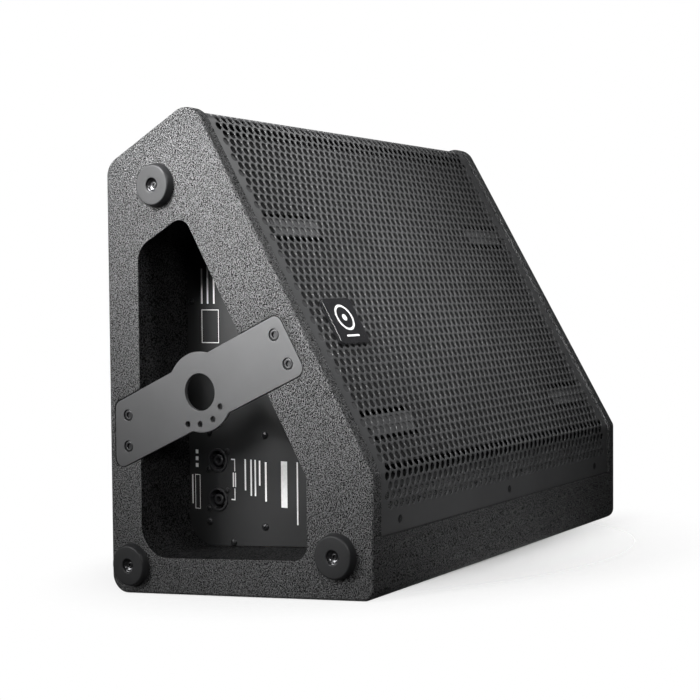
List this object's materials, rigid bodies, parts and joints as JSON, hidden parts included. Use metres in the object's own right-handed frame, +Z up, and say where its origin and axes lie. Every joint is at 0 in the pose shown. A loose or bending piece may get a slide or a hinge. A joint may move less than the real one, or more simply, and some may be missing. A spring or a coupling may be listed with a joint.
{
  "type": "stage monitor wedge",
  "caption": "Black plywood stage monitor wedge with a sloping perforated grille, and a side well that holds the sockets behind a pole-mount bracket; woofer, horn and crossover inside.",
  "frame": {"origin": "centre of the whole object's box, at the level of the base that the wedge stands on", "axes": "+X runs from the side with the connector well and feet to the plain side, -Y is the front that the grille faces, +Z is up"},
  "size_m": [0.563, 0.3182, 0.4701],
  "materials": {
    "painted_wood": "black textured scratch-resistant paint on birch plywood",
    "bare_wood": "unpainted birch plywood",
    "grille_steel": "satin black powder coat",
    "black_steel": "smooth matt black powder coat",
    "black_screw": "black oxide",
    "zinc": "zinc plated",
    "badge_plastic": null,
    "rubber": "matt moulded rubber",
    "black_plastic": "fine matt moulded plastic",
    "foam": "open-cell acoustic foam",
    "circuit_board": "green solder mask",
    "copper": "enamelled copper wire",
    "film": "taped film capacitor",
    "treated_cloth": "doped woven cloth",
    "paper_cone": "pressed black paper pulp",
    "ferrite": "sintered ferrite",
    "wadding": "polyester wadding",
    "screen_print": null,
    "wire": "PVC insulation"
  },
  "bodies": {
    "cabinet": {"side_panel_left": "painted_wood", "side_panel_right": "painted_wood", "bottom_panel": "painted_wood", "rear_panel": "painted_wood", "upper_rear_panel": "painted_wood", "front_rail": "painted_wood", "baffle": "painted_wood", "inner_brace": "bare_wood", "well_walls": "painted_wood", "well_back": "bare_wood", "grille": "grille_steel", "grille_foam": "foam", "grille_blocks": "painted_wood", "side_battens": "painted_wood", "grille_screws": "black_screw", "pole_bracket": "black_steel", "bracket_screws": "black_screw", "bracket_nuts": "zinc", "feet": "rubber", "foot_washers": "zinc", "foot_screws": "black_screw", "terminal_plate": "black_steel", "terminal_screws": "black_screw", "speaker_sockets": "black_plastic", "socket_screws": "black_screw", "crossover_board": "circuit_board", "crossover_screws": "black_screw", "crossover_spacers": "zinc", "crossover_coils": "copper", "crossover_capacitors": "film", "woofer_basket": "black_steel", "woofer_gasket": "rubber", "woofer_screws": "zinc", "woofer_surround": "treated_cloth", "woofer_spider": "treated_cloth", "woofer_top_plate": "zinc", "woofer_magnet": "ferrite", "woofer_back_plate": "zinc", "horn_flare": "black_plastic", "horn_screws": "black_screw", "compression_driver": "ferrite", "driver_cover": "black_plastic", "port_tubes": "black_plastic", "damping_wadding": "wadding", "woofer_leads": "wire", "horn_leads": "wire"},
    "cone": {"woofer_cone": "paper_cone", "dust_cap": "paper_cone", "voice_coil": "copper"},
    "badge_turn": {"badge": "badge_plastic", "badge_clip": "zinc"}
  },
  "joints": [
    {"name": "cone_travel", "type": "slide", "parent": "cabinet", "child": "cone", "axis": [0, -0.9026, 0.4305], "range_m": [-0.005, 0.005], "stiffness_N_per_m": 6000, "deforming": ["woofer_surround", "woofer_spider"]},
    {"name": "badge_rotation", "type": "hinge", "parent": "cabinet", "child": "badge_turn", "pos_m": [-0.1955, -0.089, 0.2531], "axis": [0, -0.9026, 0.4305], "range_deg": [0, 90]}
  ]
}
